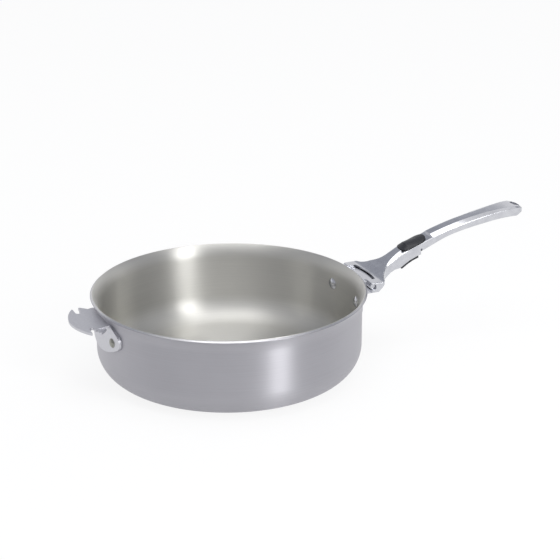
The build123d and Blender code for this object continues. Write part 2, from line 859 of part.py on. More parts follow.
with BuildPart() as latch_housing:
    with BuildSketch(Plane.XZ.offset(-housing_half)):
        with BuildLine():
            seam = seam_points(0)
            belly = [
                (housing_front_x + along * housing_length, rise(up * housing_length))
                for along, up in housing_belly_shares
            ]
            Polyline(*seam)
            Polyline(*belly)
            Line(seam[0], belly[0])
            Line(seam[-1], belly[-1])
        make_face()
    extrude(amount=2 * housing_half)
    flank = latch_housing.edges().filter_by(lambda e: abs(e.center().Y) > housing_half - seat_gap)
    fillet(flank.filter_by(lambda e: e.center().Z < seam_z(e.center().X) - housing_wall), housing_round)
    with BuildSketch(Plane.XZ.offset(-slot_half)):
        with BuildLine():
            Polyline(
                (housing_front_x - overrun, rim_height - overrun),
                (housing_front_x - overrun, rim_height + overrun),
                (bay_front_x, rim_height + overrun),
                (bay_front_x, rim_height - overrun),
                close=True,
            )
        make_face()
    extrude(amount=2 * slot_half, mode=Mode.SUBTRACT)
    with BuildSketch(Plane.XZ.offset(-housing_half + housing_wall)):
        with BuildLine():
            Polyline(
                (bay_front_x, rim_height - overrun),
                (bay_front_x, rim_height + overrun),
                (bay_rear_x, rim_height + overrun),
                (bay_rear_x, rim_height - overrun),
                close=True,
            )
        make_face()
    extrude(amount=2 * (housing_half - housing_wall), mode=Mode.SUBTRACT)
    with BuildSketch(Plane.XZ.offset(-pivot_pin_half)):
        with Locations((pivot_x, rise(pivot_rise))):
            Circle(pivot_pin_r + seat_gap)
    extrude(amount=2 * pivot_pin_half, mode=Mode.SUBTRACT)
    with BuildSketch(*screw_planes()):
        Circle(screw_shank_r + screw_fit)
    extrude(amount=screw_length, mode=Mode.SUBTRACT)
    for plane in screw_planes():
        with BuildSketch(plane.offset(screw_head_high + screw_fit)):
            Circle(screw_head_r + screw_fit)
        extrude(amount=-screw_length, mode=Mode.SUBTRACT)
latch_housing.part.label = "latch_housing"
export_step(latch_housing.part, "parts/latch_housing.step")

with BuildPart() as pivot_pin:
    with BuildSketch(Plane.XZ.offset(-pivot_pin_half)):
        with Locations((pivot_x, rise(pivot_rise))):
            Circle(pivot_pin_r)
    extrude(amount=2 * pivot_pin_half)
pivot_pin.part.label = "pivot_pin"
export_step(pivot_pin.part, "parts/pivot_pin.step")


def cut_trigger_rivet():
    """Hole for the trigger's rivet, with a counterbore from below for its head."""
    foot = rise(trigger_rivet_rise)
    with BuildSketch(Plane.XY.offset(foot)) as hole:
        with Locations((trigger_rivet_x, 0)):
            Circle(trigger_rivet_r + screw_fit)
    extrude(hole.sketch, amount=overrun, mode=Mode.SUBTRACT)
    with BuildSketch(Plane.XY.offset(foot + trigger_rivet_head_high + screw_fit)) as seat:
        with Locations((trigger_rivet_x, 0)):
            Circle(trigger_rivet_head_r + screw_fit)
    extrude(seat.sketch, amount=-overrun, mode=Mode.SUBTRACT)


# Latch lever: a steel plate whose nose hooks behind the keeper rib

with BuildPart() as latch_lever:
    with BuildSketch(Plane.XZ.offset(-lever_half)):
        with BuildLine():
            rib_foot = rise(-rib_foot_drop)
            bar_top = rib_foot - nose_clear
            nose_foot_x = rib_front_x - nose_set
            nose_slope = nose_run / nose_rise
            Polyline(
                (nose_front_x, rise(-elbow_drop) - elbow_r),
                (nose_front_x, rib_foot),
                (nose_foot_x - nose_run - nose_top, rib_foot + nose_rise),
                (nose_foot_x - nose_run, rib_foot + nose_rise),
                (nose_foot_x + nose_slope * nose_clear, bar_top),
                (elbow_x, bar_top),
                (elbow_x, rise(-elbow_drop) - elbow_r),
                close=True,
            )
        make_face()
        with BuildSketch(mode=Mode.PRIVATE) as arm_ends:
            with Locations((pivot_x, rise(pivot_rise))):
                Circle(boss_r)
            with Locations((elbow_x, rise(-elbow_drop))):
                Circle(elbow_r)
        make_hull(arm_ends.edges())
        with BuildLine():
            Polyline(
                (pivot_x, rise(pivot_rise)),
                (tongue_start_x, rise(tongue_start_rise)),
                (tongue_end_x, rise(tongue_end_rise)),
                (tongue_end_x, rise(tongue_end_rise) - tongue_thick),
                (pivot_x + boss_r, rise(pivot_rise) - tongue_thick),
                close=True,
            )
        make_face()
        with Locations((pivot_x, rise(pivot_rise))):
            Circle(pivot_pin_r + pivot_fit, mode=Mode.SUBTRACT)
    extrude(amount=2 * lever_half)
    cut_trigger_rivet()
latch_lever.part.label = "latch_lever"
export_step(latch_lever.part, "parts/latch_lever.step")

with BuildPart() as trigger:
    trigger_length = trigger_rear_x - trigger_front_x
    with BuildSketch(Plane.XZ.offset(-trigger_half)):
        with BuildLine():
            under = [
                (trigger_front_x + along * trigger_length, rise(up * housing_length))
                for along, up in trigger_belly_shares
            ]
            Polyline(
                *under,
                (trigger_rear_x, rise(tongue_end_rise) + trigger_top_clear),
                (tongue_end_x, rise(tongue_end_rise) + trigger_top_clear),
                (trigger_front_x, rise(tongue_start_rise)),
                close=True,
            )
        make_face()
    extrude(amount=2 * trigger_half)
    add(latch_lever.part, mode=Mode.SUBTRACT)
    cut_trigger_rivet()
trigger.part.label = "trigger"
export_step(trigger.part, "parts/trigger.step")

with BuildPart() as trigger_rivet:
    with BuildSketch(Plane.XY.offset(rise(trigger_rivet_rise))):
        with Locations((trigger_rivet_x, 0)):
            Circle(trigger_rivet_head_r)
    extrude(amount=trigger_rivet_head_high)
    with BuildSketch(Plane.XY.offset(rise(trigger_rivet_rise))):
        with Locations((trigger_rivet_x, 0)):
            Circle(trigger_rivet_r)
    extrude(amount=trigger_rivet_length)
trigger_rivet.part.label = "trigger_rivet"
export_step(trigger_rivet.part, "parts/trigger_rivet.step")

with BuildPart() as housing_screws:
    with BuildSketch(*screw_planes()):
        Circle(screw_shank_r)
    extrude(amount=screw_length)
    with BuildSketch(*screw_planes()):
        Circle(screw_head_r)
    extrude(amount=screw_head_high)
    with BuildSketch(*screw_planes()):
        RegularPolygon(screw_shank_r, 6)
    extrude(amount=screw_head_high / 2, mode=Mode.SUBTRACT)
housing_screws.part.label = "housing_screws"
export_step(housing_screws.part, "parts/housing_screws.step")

# Thumb slider: a moulded pad on the sloped neck, whose stem passes through the slot

stem_foot = roof_thick + slider_fit

with BuildPart() as thumb_slider:
    pad_length = slider_rear - slider_front
    pad_drop = (slider_half - seat_half) * tan(radians(seat_bevel_angle))
    pad_edge = slider_lift - pad_drop + slider_edge
    for along, crown in slider_crown_shares:
        with BuildSketch(neck_across.offset(slider_front + along * pad_length)):
            with BuildLine():
                ThreePointArc(
                    (-slider_half, pad_edge),
                    (0, crown * slider_crown),
                    (slider_half, pad_edge),
                )
                Polyline(
                    (slider_half, pad_edge),
                    (slider_half, slider_lift - pad_drop),
                    (seat_half, slider_lift),
                    (-seat_half, slider_lift),
                    (-slider_half, slider_lift - pad_drop),
                    (-slider_half, pad_edge),
                )
            make_face()
    loft(ruled=True)
    with BuildSketch(neck_plane) as pad_plan:
        with Locations((slider_front, 0)):
            Rectangle(pad_length, 2 * slider_half, align=(Align.MIN, Align.CENTER))
        fillet(pad_plan.vertices().group_by(Axis.X)[0], slider_front_corner_r)
        fillet(pad_plan.vertices().group_by(Axis.X)[-1], slider_rear_corner_r)
    extrude(amount=overrun / 3, both=True, mode=Mode.INTERSECT)
    with BuildSketch(neck_plane.offset(slider_lift)):
        with Locations((stem_centre, 0)):
            RectangleRounded(2 * stem_half_length, 2 * stem_half, stem_round)
    extrude(amount=-slider_lift - stem_foot)
    with BuildSketch(neck_plane.offset(-stem_foot)):
        with Locations((stem_centre, 0)):
            Circle(slider_screw_r + screw_fit)
    extrude(amount=slider_screw_length - retainer_thick + screw_fit, mode=Mode.SUBTRACT)
thumb_slider.part.label = "thumb_slider"
export_step(thumb_slider.part, "parts/thumb_slider.step")

with BuildPart() as slider_retainer:
    retainer_length = retainer_rear - retainer_front
    retainer_foot = stem_foot + retainer_thick
    with BuildSketch(neck_plane.offset(-stem_foot)):
        with Locations((retainer_front, 0)):
            Rectangle(retainer_length, 2 * retainer_half, align=(Align.MIN, Align.CENTER))
    extrude(amount=-retainer_thick)
    with BuildSketch(neck_plane.offset(-retainer_foot)):
        with Locations((retainer_front, 0)):
            Rectangle(foot_length, 2 * retainer_half, align=(Align.MIN, Align.CENTER))
    extrude(amount=-foot_drop)
    with BuildSketch(neck_plane.offset(-stem_foot)):
        with Locations((stem_centre, 0)):
            Circle(slider_screw_r + screw_fit)
    extrude(amount=-retainer_thick, mode=Mode.SUBTRACT)
    with BuildSketch(neck_plane.offset(-retainer_foot)):
        with Locations((stem_centre, 0)):
            Circle(slider_screw_head_r + screw_fit)
    extrude(amount=slider_screw_head_high, mode=Mode.SUBTRACT)
slider_retainer.part.label = "slider_retainer"
export_step(slider_retainer.part, "parts/slider_retainer.step")

with BuildPart() as slider_screw:
    with BuildSketch(neck_plane.offset(-retainer_foot)):
        with Locations((stem_centre, 0)):
            Circle(slider_screw_head_r)
    extrude(amount=slider_screw_head_high - screw_fit)
    with BuildSketch(neck_plane.offset(-retainer_foot)):
        with Locations((stem_centre, 0)):
            Circle(slider_screw_r)
    extrude(amount=slider_screw_length)
slider_screw.part.label = "slider_screw"
export_step(slider_screw.part, "parts/slider_screw.step")

# Springs: one returns the slider to its lock, and one holds the lever's nose up

with BuildPart() as slider_spring:
    spring_start = retainer_front + foot_length + spring_wire_r + seat_gap
    spring_seat = neck_plane.offset(-slider_spring_depth)
    seat_point = spring_seat.from_local_coords(Vector(spring_start, 0, 0))
    add_coil(
        Plane(origin=seat_point, x_dir=(0, 1, 0), z_dir=neck_plane.x_dir),
        slider_spring_r,
        spring_wire_r,
        slider_spring_turns,
        slider_spring_end - spring_start,
    )
slider_spring.part.label = "slider_spring"
export_step(slider_spring.part, "parts/slider_spring.step")

with BuildPart() as latch_spring:
    tongue_slope = (tongue_end_rise - tongue_start_rise) / (tongue_end_x - tongue_start_x)
    coil_outer = latch_spring_r + spring_wire_r
    tongue_top = rise(tongue_start_rise) + tongue_slope * (latch_spring_x + coil_outer - tongue_start_x)
    spring_foot = tongue_top + spring_wire_r + seat_gap
    spring_head = slope_z(latch_spring_x - coil_outer, roof_thick) - spring_wire_r - latch_spring_top_gap
    add_coil(
        Plane(origin=(latch_spring_x, 0, spring_foot)),
        latch_spring_r,
        spring_wire_r,
        latch_spring_turns,
        spring_head - spring_foot,
    )
latch_spring.part.label = "latch_spring"
export_step(latch_spring.part, "parts/latch_spring.step")
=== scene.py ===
# %% [markdown]
# # A saucier pan with a clip-on handle
#
# The real pan is drawn from one bonded sheet: stainless steel outside and inside, with aluminium
# between them. A cast stainless handle hooks on to a riveted bracket, and a folded sheet handle
# sits opposite. This notebook loads the measured model as a frame, remakes the pieces that
# show most as smooth surfaces, and gives every piece the finish of its metal or plastic.

# %% Load the frame
import math

import bmesh
import bpy
import numpy as np
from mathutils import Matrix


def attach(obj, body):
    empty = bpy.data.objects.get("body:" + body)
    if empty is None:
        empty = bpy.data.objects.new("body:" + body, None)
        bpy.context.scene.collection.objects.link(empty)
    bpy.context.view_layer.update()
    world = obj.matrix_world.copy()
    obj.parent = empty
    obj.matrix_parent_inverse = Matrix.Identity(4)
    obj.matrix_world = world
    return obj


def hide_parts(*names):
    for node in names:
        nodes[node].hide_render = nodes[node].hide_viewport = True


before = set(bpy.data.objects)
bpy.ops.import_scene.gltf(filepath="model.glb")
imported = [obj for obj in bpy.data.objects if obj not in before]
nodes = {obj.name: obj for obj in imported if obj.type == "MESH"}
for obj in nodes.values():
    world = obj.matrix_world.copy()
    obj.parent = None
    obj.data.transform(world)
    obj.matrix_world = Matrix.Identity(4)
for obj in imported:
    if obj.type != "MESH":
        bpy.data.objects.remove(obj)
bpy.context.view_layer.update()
print("nodes in the frame:", len(nodes))

# %% [markdown]
# ## Units and small helpers
#
# Blender works in metres here, and a maker thinks in millimetres, so one constant turns one
# into the other. Colours are picked as sRGB hex values, the way a paint chart gives them, and
# one function turns them to the linear values that a renderer needs.

# %% Units and colours
MM = 0.001


def linear(hex_colour, alpha=1.0):
    """sRGB hex to linear RGBA: below 0.04045 divide by 12.92, above it the 2.4 power curve."""
    srgb = np.array([int(hex_colour[i : i + 2], 16) for i in (1, 3, 5)]) / 255
    low = srgb / 12.92
    high = ((srgb + 0.055) / 1.055) ** 2.4
    return (*np.where(srgb <= 0.04045, low, high), alpha)


print("mid grey is", linear("#808080"))

# %% [markdown]
# ## The camera
#
# The photo was taken from a little above the rim with a long lens. The camera stands 1.5 m
# from the middle of the rim. It is first aimed at that point and then turned by a small
# yaw and pitch, because the photographer framed the pan and its handle together.

# %% Camera
RIM_HIGH = 76.0 * MM
CAMERA_DISTANCE = 1.5
CAMERA_AZIMUTH = math.radians(-21.5)
CAMERA_ELEVATION = math.radians(20.876)
CAMERA_YAW = math.radians(-1.868)
CAMERA_PITCH = math.radians(0.281)
CAMERA_LENS = 107.6


def turned(vector, axis, angle):
    """Vector turned about a unit axis: Rodrigues' formula."""
    axis = axis / np.linalg.norm(axis)
    along = axis * (axis @ vector)
    return along + math.cos(angle) * (vector - along) + math.sin(angle) * np.cross(axis, vector)


def aim_camera():
    """Camera axes: back looks away from the target, side and up follow from it."""
    back = np.array(
        [
            math.sin(CAMERA_AZIMUTH) * math.cos(CAMERA_ELEVATION),
            -math.cos(CAMERA_AZIMUTH) * math.cos(CAMERA_ELEVATION),
            math.sin(CAMERA_ELEVATION),
        ]
    )
    place = np.array([0, 0, RIM_HIGH]) + CAMERA_DISTANCE * back
    sky = np.array([0.0, 0.0, 1.0])
    side = np.cross(sky, back)
    side = side / np.linalg.norm(side)
    back, side = turned(back, sky, CAMERA_YAW), turned(side, sky, CAMERA_YAW)
    back = turned(back, side, CAMERA_PITCH)
    up = np.cross(back, side)
    data = bpy.data.cameras.new("photo_camera")
    data.lens = CAMERA_LENS
    data.sensor_width = 36
    data.clip_end = 50
    camera = bpy.data.objects.new("photo_camera", data)
    bpy.context.scene.collection.objects.link(camera)
    matrix = np.eye(4)
    matrix[:3, 0], matrix[:3, 1], matrix[:3, 2], matrix[:3, 3] = side, up, back, place
    camera.matrix_world = matrix.T.tolist()
    bpy.context.scene.camera = camera
    return camera


camera = aim_camera()
print("camera at", [round(v, 3) for v in camera.matrix_world.translation])

# %% [markdown]
# ## Surfaces from numbers
#
# Most pieces here are turned, bent or milled, so each is a grid of points worked out from two
# parameters. One function makes a mesh of such a grid and gives it a UV map in millimetres,
# which the brushed finishes follow.

# %% Grid surfaces


def add_piece(name, points, faces, body, replaced, uv=None):
    """Puts points and faces into a smooth mesh at the world origin that rides on a body."""
    mesh = bpy.data.meshes.new(name)
    mesh.from_pydata(points.reshape(-1, 3).tolist(), [], faces)
    mesh.polygons.foreach_set("use_smooth", np.ones(len(mesh.polygons), dtype=bool))
    if uv is not None:
        corners = np.empty(len(mesh.loops), dtype=np.int32)
        mesh.loops.foreach_get("vertex_index", corners)
        layer = mesh.uv_layers.new(name="grain")
        layer.data.foreach_set("uv", uv.reshape(-1, 2)[corners].ravel().astype(np.float32))
    mesh.update()
    piece = bpy.data.objects.new(name, mesh)
    bpy.context.scene.collection.objects.link(piece)
    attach(piece, body)
    if replaced:
        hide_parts(*replaced)
    print(name, "has", len(mesh.polygons), "faces")
    return piece


def grid_faces(rows, columns, close_rows, close_columns):
    """Quads of a grid: each cell joins a point, its right, its upper right and its upper one."""
    down = np.arange(rows if close_rows else rows - 1)
    across = np.arange(columns if close_columns else columns - 1)
    i, j = np.meshgrid(down, across, indexing="ij")
    below, right = (i + 1) % rows, (j + 1) % columns
    near, far = i * columns, below * columns
    quads = np.stack([near + j, near + right, far + right, far + j], -1)
    return quads.reshape(-1, 4).tolist()


def arc(centre, radius, start, end, count):
    """Points on an arc in a plane, from one angle to another in degrees, both ends included."""
    angle = np.radians(np.linspace(start, end, count))
    return np.stack([centre[0] + radius * np.cos(angle), centre[1] + radius * np.sin(angle)], -1)


print("a grid of 3 by 4 points has", len(grid_faces(3, 4, False, False)), "cells")

# %% [markdown]
# ## The pan's two steel skins
#
# The sheet is drawn over a form and its surface is brushed while the pan turns on a lathe, so
# the grain runs round it. Each steel ply is a closed profile turned about the pan's axis. The
# mesh has 360 steps round, fine enough for its highlights to stay smooth.
#
# PLIES lists the depths, in millimetres below the outside, at which steel and aluminium meet:
# half a millimetre of steel, one and a half of aluminium and half a millimetre of steel.

# %% Pan profile
WALL_R = 119.6
LIP_R = 124.0
FLARE_R = 17.5
CORNER_R = 26.2
PLIES = (0.0, 0.5, 2.0, 2.5)
STEPS_ROUND = 360
FLOOR_STEPS, CORNER_STEPS, WALL_STEPS, FLARE_STEPS, END_STEPS = 40, 28, 24, 16, 9
MIDDLE_R = 0.01
END_SHARE = 0.6
GRAIN_PER_METRE = 10
SHEET = PLIES[-1]
flare_angle = math.degrees(math.acos(1 - (LIP_R - WALL_R) / FLARE_R))
flare_start = RIM_HIGH / MM - (FLARE_R + SHEET) * math.sin(math.radians(flare_angle))


def sheet_line(depth):
    """Half profile of the sheet at a depth below its outside, from the middle to the lip, in mm."""
    corner_x = WALL_R - CORNER_R
    out = np.linspace(MIDDLE_R, corner_x, FLOOR_STEPS)
    up = np.linspace(CORNER_R, flare_start, WALL_STEPS)
    floor = np.stack([out, np.full(FLOOR_STEPS, depth)], -1)
    corner = arc((corner_x, CORNER_R), CORNER_R - depth, 270, 360, CORNER_STEPS)
    wall = np.stack([np.full(WALL_STEPS, WALL_R - depth), up], -1)
    flare_centre = (WALL_R + FLARE_R, flare_start)
    flare = arc(flare_centre, FLARE_R + depth, 180, 180 - flare_angle, FLARE_STEPS)
    return np.concatenate([floor, corner[1:], wall[1:], flare[1:]])


def rounded_end(outer, inner, share):
    """Half round from the end of one line to the end of the other, flattened to a share."""
    middle = (outer[-1] + inner[-1]) / 2
    across = (outer[-1] - inner[-1]) / 2
    ahead = outer[-1] - outer[-2]
    ahead = ahead / np.linalg.norm(ahead) * np.linalg.norm(across) * share
    angle = np.radians(np.linspace(0, 180, END_STEPS))[1:-1, None]
    return middle + across * np.cos(angle) + ahead * np.sin(angle)


def turned_ply(name, outside, inside, replaced):
    """Closed profile of one ply turned about Z: x = r cos a, y = r sin a, z = height."""
    outer, inner = sheet_line(outside), sheet_line(inside)
    profile = np.concatenate([outer, rounded_end(outer, inner, END_SHARE), inner[::-1]]) * MM
    angle = np.linspace(0, 2 * math.pi, STEPS_ROUND, endpoint=False)
    radius, height = profile[:, :1], profile[:, 1:]
    points = np.stack([radius * np.cos(angle), radius * np.sin(angle), height + 0 * angle], -1)
    run = np.concatenate([[0], np.cumsum(np.linalg.norm(np.diff(profile, axis=0), axis=1))])
    uv = np.stack(np.broadcast_arrays(angle / (2 * math.pi), run[:, None] * GRAIN_PER_METRE), -1)
    faces = grid_faces(len(profile), STEPS_ROUND, False, True)
    return add_piece(name, points, faces, "pan", replaced, uv)


outer_skin = turned_ply("pan_outer_skin", PLIES[0], PLIES[1], ["outer_steel_ply"])
inner_skin = turned_ply("pan_inner_skin", PLIES[2], PLIES[3], ["inner_steel_ply"])

# %% [markdown]
# ## Rounded edges
#
# A cast, stamped or moulded piece has no knife edges: polishing, tumbling or the mould rounds
# them. The pieces that show most are copies of the measured solids with their flat faces joined,
# and a bevel rounds each edge sharper than a set angle.
#
# The long handle's end is also thinner towards its edge, like a pebble. A bevel only rounds an
# edge, so there the points themselves are moved towards the middle before the bevel is added.

# %% Rounded copies
FLAT_ANGLE = math.radians(0.05)
SEAM = 0.002 * MM
BEVEL_STEPS = 3
TIP_R = 10.0
TIP_EDGE = 4.0
TIP_RUN = 4.0
TIP_DRAW = 0.80
TIP_LIFT = 1.2


def round_tip(work):
    """Draws the handle's end in: height from the middle times sqrt(1 - TIP_DRAW s s). Here s
    grows from 0 to 1 over the outer TIP_EDGE of the end's half round, and along its TIP_RUN."""
    end = max(vertex.co.x for vertex in work.verts)
    centre = end - TIP_R * MM
    last = [vertex for vertex in work.verts if vertex.co.x > centre]
    heights = [vertex.co.z for vertex in last]
    middle = (max(heights) + min(heights)) / 2 + TIP_LIFT * MM
    for vertex in last:
        out = math.hypot(vertex.co.x - centre, vertex.co.y)
        edge = min(1, max(0, 1 - (TIP_R * MM - out) / (TIP_EDGE * MM)))
        share = edge * min(1, (vertex.co.x - centre) / (TIP_RUN * MM))
        vertex.co.z = middle + (vertex.co.z - middle) * math.sqrt(1 - TIP_DRAW * share * share)


def rounded_copy(node_name, body, slot, edge_mm, edge_angle):
    """Copy of a measured piece whose edges sharper than an angle are rounded over edge_mm."""
    mesh = nodes[node_name].data.copy()
    work = bmesh.new()
    work.from_mesh(mesh)
    bmesh.ops.remove_doubles(work, verts=work.verts, dist=SEAM)
    bmesh.ops.dissolve_limit(work, angle_limit=FLAT_ANGLE, verts=work.verts, edges=work.edges)
    if node_name == "handle_casting":
        round_tip(work)
    work.to_mesh(mesh)
    work.free()
    mesh.polygons.foreach_set("use_smooth", np.ones(len(mesh.polygons), dtype=bool))
    piece = bpy.data.objects.new(node_name + "_rounded", mesh)
    bpy.context.scene.collection.objects.link(piece)
    bevel = piece.modifiers.new("rounded edges", "BEVEL")
    bevel.width = edge_mm * MM
    bevel.segments = BEVEL_STEPS
    bevel.limit_method = "ANGLE"
    bevel.angle_limit = math.radians(edge_angle)
    piece.modifiers.new("even normals", "WEIGHTED_NORMAL")
    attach(piece, body)
    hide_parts(node_name)
    print(piece.name, "from", len(mesh.polygons), "faces")
    return piece


ROUNDED = [
    ("handle_casting", "handle", "polished_steel", 0.35, 50),
    ("thumb_slider", "slider", "black_plastic", 0.30, 30),
    ("trigger", "latch", "black_plastic", 0.30, 30),
    ("latch_housing", "handle", "polished_steel", 0.25, 50),
    ("helper_handle", "pan", "matt_steel", 0.30, 50),
    ("handle_bracket", "pan", "polished_steel", 0.30, 50),
]
rounded = {name: rounded_copy(name, *how) for name, *how in ROUNDED}

# %% [markdown]
# ## Finishes
#
# Each finish is a node material on one principled shader, which serves for metal as well as
# for plastic. A few helpers add the nodes, ramps and ranges, so that each finish further down
# reads as a short list of what it is made of.

# %% Node helpers


def add_node(tree, kind, inputs=(), **settings):
    """Adds one node, sets its properties, and fills or links its inputs by name or place."""
    made = tree.nodes.new(kind)
    for name, value in settings.items():
        setattr(made, name, value)
    for socket, value in dict(inputs).items():
        if isinstance(value, bpy.types.NodeSocket):
            tree.links.new(value, made.inputs[socket])
        else:
            made.inputs[socket].default_value = value
    return made


def start_material(name, shader_inputs):
    """A material with one principled shader, whose constants are set on its own sockets."""
    material = bpy.data.materials.new(name)
    material.use_nodes = True
    tree = material.node_tree
    tree.nodes.clear()
    shader = add_node(tree, "ShaderNodeBsdfPrincipled", shader_inputs)
    output = add_node(tree, "ShaderNodeOutputMaterial")
    tree.links.new(shader.outputs["BSDF"], output.inputs["Surface"])
    return material, tree, shader


def colour_ramp(tree, factor, stops):
    """A ramp from hex colours at places between 0 and 1."""
    ramp = add_node(tree, "ShaderNodeValToRGB", {"Fac": factor})
    ramp.color_ramp.elements[0].position = stops[0][0]
    ramp.color_ramp.elements[0].color = linear(stops[0][1])
    ramp.color_ramp.elements[1].position = stops[-1][0]
    ramp.color_ramp.elements[1].color = linear(stops[-1][1])
    for place, colour in stops[1:-1]:
        ramp.color_ramp.elements.new(place).color = linear(colour)
    return ramp.outputs["Color"]


def value_range(tree, factor, low, high):
    """Maps 0 to 1 onto a range of values."""
    made = add_node(tree, "ShaderNodeMapRange", {"Value": factor, "To Min": low, "To Max": high})
    return made.outputs["Result"]


print("helpers for nodes, ramps and ranges are ready")

# %% [markdown]
# ## Lathe-brushed steel
#
# The pan is brushed while it turns, so fine scratches run round it, and they stretch each
# highlight across the grain into a tall streak. Here the grain is noise on radius and height,
# which is nearly the same all the way round. The shader's anisotropy stretches the highlights,
# and a quarter turn sets them across the grain. An image of scratches would show its repeats.

# %% Turned steel
ACROSS_GRAIN = 0.25
RING_DRIFT = 0.012
CLOUD_MM = 45
CLOUD_SHARE = 0.35
ROUGHNESS_SPREAD = 0.05
GRAIN_BUMP, GRAIN_DEPTH_MM = 0.12, 0.02


def turned_steel(name, dark, light, roughness, anisotropy, grain_mm):
    """Stainless steel brushed on a lathe: rings of grain about Z, with soft changes round them.
    The rings are noise on radius and height. The finest grain is drawn at grain_mm."""
    metal = {"Metallic": 1.0, "Anisotropic": anisotropy, "Anisotropic Rotation": ACROSS_GRAIN}
    material, tree, shader = start_material(name, metal)
    place = add_node(tree, "ShaderNodeTexCoord").outputs["Object"]
    parts = add_node(tree, "ShaderNodeSeparateXYZ", {0: place})
    flat = add_node(tree, "ShaderNodeVectorMath", {0: place, 1: (1, 1, 0)}, operation="MULTIPLY")
    flat = flat.outputs[0]
    radius = add_node(tree, "ShaderNodeVectorMath", {0: flat}, operation="LENGTH")
    drift = add_node(
        tree, "ShaderNodeVectorMath", {0: flat, "Scale": RING_DRIFT}, operation="SCALE"
    )
    rings = add_node(
        tree, "ShaderNodeCombineXYZ", {"X": radius.outputs["Value"], "Y": parts.outputs["Z"]}
    )
    bent = add_node(
        tree, "ShaderNodeVectorMath", {0: rings.outputs[0], 1: drift.outputs[0]}, operation="ADD"
    )
    grain = add_node(
        tree,
        "ShaderNodeTexNoise",
        {"Vector": bent.outputs[0], "Scale": 1 / (grain_mm * MM), "Detail": 3.0, "Roughness": 0.6},
    ).outputs[0]
    cloud = add_node(
        tree, "ShaderNodeTexNoise", {"Vector": place, "Scale": 1 / (CLOUD_MM * MM), "Detail": 2.0}
    ).outputs[0]
    tone = add_node(
        tree,
        "ShaderNodeMix",
        {0: CLOUD_SHARE, 2: grain, 3: cloud},
        data_type="FLOAT",
    ).outputs[0]
    colour = colour_ramp(tree, tone, [(0.25, dark), (0.75, light)])
    tree.links.new(colour, shader.inputs["Base Color"])
    low, high = roughness - ROUGHNESS_SPREAD, roughness + ROUGHNESS_SPREAD
    tree.links.new(value_range(tree, grain, low, high), shader.inputs["Roughness"])
    relief = {"Height": grain, "Strength": GRAIN_BUMP, "Distance": GRAIN_DEPTH_MM * MM}
    bump = add_node(tree, "ShaderNodeBump", relief)
    tree.links.new(bump.outputs[0], shader.inputs["Normal"])
    tangent = add_node(tree, "ShaderNodeTangent", direction_type="UV_MAP", uv_map="grain")
    tree.links.new(tangent.outputs[0], shader.inputs["Tangent"])
    return material


satin_outside = turned_steel("lathe_brushed_steel_outside", "#B6B5BA", "#C2C1C6", 0.42, 0.9, 0.9)
satin_inside = turned_steel("lathe_brushed_steel_inside", "#D1D0CC", "#DCDBD6", 0.42, 0.9, 0.9)
outer_skin.data.materials.append(satin_outside)
inner_skin.data.materials.append(satin_inside)
print("brushed steel:", satin_outside.name, "and", satin_inside.name)

# %% [markdown]
# ## Cast, stamped and drawn metal
#
# The long handle is cast and polished, the helper handle is stamped and tumbled, and the
# springs are drawn wire. None of them has a clear direction in its surface, so one function
# serves them all: a mottled tone, a roughness that follows it, and a slow waviness that bends
# reflections a little, as a polishing wheel leaves them.

# %% Plain metals
WAVE_BUMP = 0.5
ROUGHNESS_SHARE = 0.2


def plain_metal(name, dark, light, roughness, mottle_mm, wave_mm, wave_depth):
    """Metal with a mottled tone and a wavy surface: two noises on Object coordinates."""
    material, tree, shader = start_material(name, {"Metallic": 1.0})
    place = add_node(tree, "ShaderNodeTexCoord").outputs["Object"]
    mottle = add_node(
        tree, "ShaderNodeTexNoise", {"Vector": place, "Scale": 1 / (mottle_mm * MM), "Detail": 3.0}
    ).outputs[0]
    wave = add_node(
        tree, "ShaderNodeTexNoise", {"Vector": place, "Scale": 1 / (wave_mm * MM), "Detail": 1.0}
    ).outputs[0]
    colour = colour_ramp(tree, mottle, [(0.3, dark), (0.7, light)])
    tree.links.new(colour, shader.inputs["Base Color"])
    low, high = roughness * (1 - ROUGHNESS_SHARE), roughness * (1 + ROUGHNESS_SHARE)
    tree.links.new(value_range(tree, mottle, low, high), shader.inputs["Roughness"])
    relief = {"Height": wave, "Strength": WAVE_BUMP, "Distance": wave_depth * MM}
    bump = add_node(tree, "ShaderNodeBump", relief)
    tree.links.new(bump.outputs[0], shader.inputs["Normal"])
    return material


polished_cast = plain_metal("polished_cast_stainless", "#C9CACF", "#D6D7DB", 0.18, 6, 14, 0.015)
polished_fixings = plain_metal("polished_stainless_fixings", "#C2C3C8", "#D2D3D7", 0.16, 3, 6, 0.01)
matt_sheet = plain_metal("tumbled_stainless_sheet", "#CDCDD2", "#D6D6DA", 0.42, 2, 1, 0.01)
bare_core = plain_metal("cut_aluminium_edge", "#C9C9CC", "#D6D6D8", 0.32, 2, 1, 0.01)
spring_wire = plain_metal("drawn_spring_steel", "#8E8E93", "#A0A0A5", 0.32, 2, 1, 0.01)
# The helper rivets are the same steel as the other fixings; their darker, olive tone is painted
# shade.
rivet_painted_shade = plain_metal("rivet_steel_painted_shade", "#8A8A83", "#A3A39C", 0.30, 2, 1, 0.01)
print("materials so far:", len(bpy.data.materials))

# %% [markdown]
# ## Moulded plastic
#
# The thumb slider and the trigger are black nylon. A spark-eroded mould gives them a fine grit,
# so they look dull and never quite black. Fine noise in tone, roughness and relief does the
# same, and it needs no unwrapping of such small pieces.

# %% Black nylon
NYLON_IOR = 1.53
NYLON_SPREAD = 0.08
GRIT_BUMP, GRIT_DEPTH_MM = 0.3, 0.03


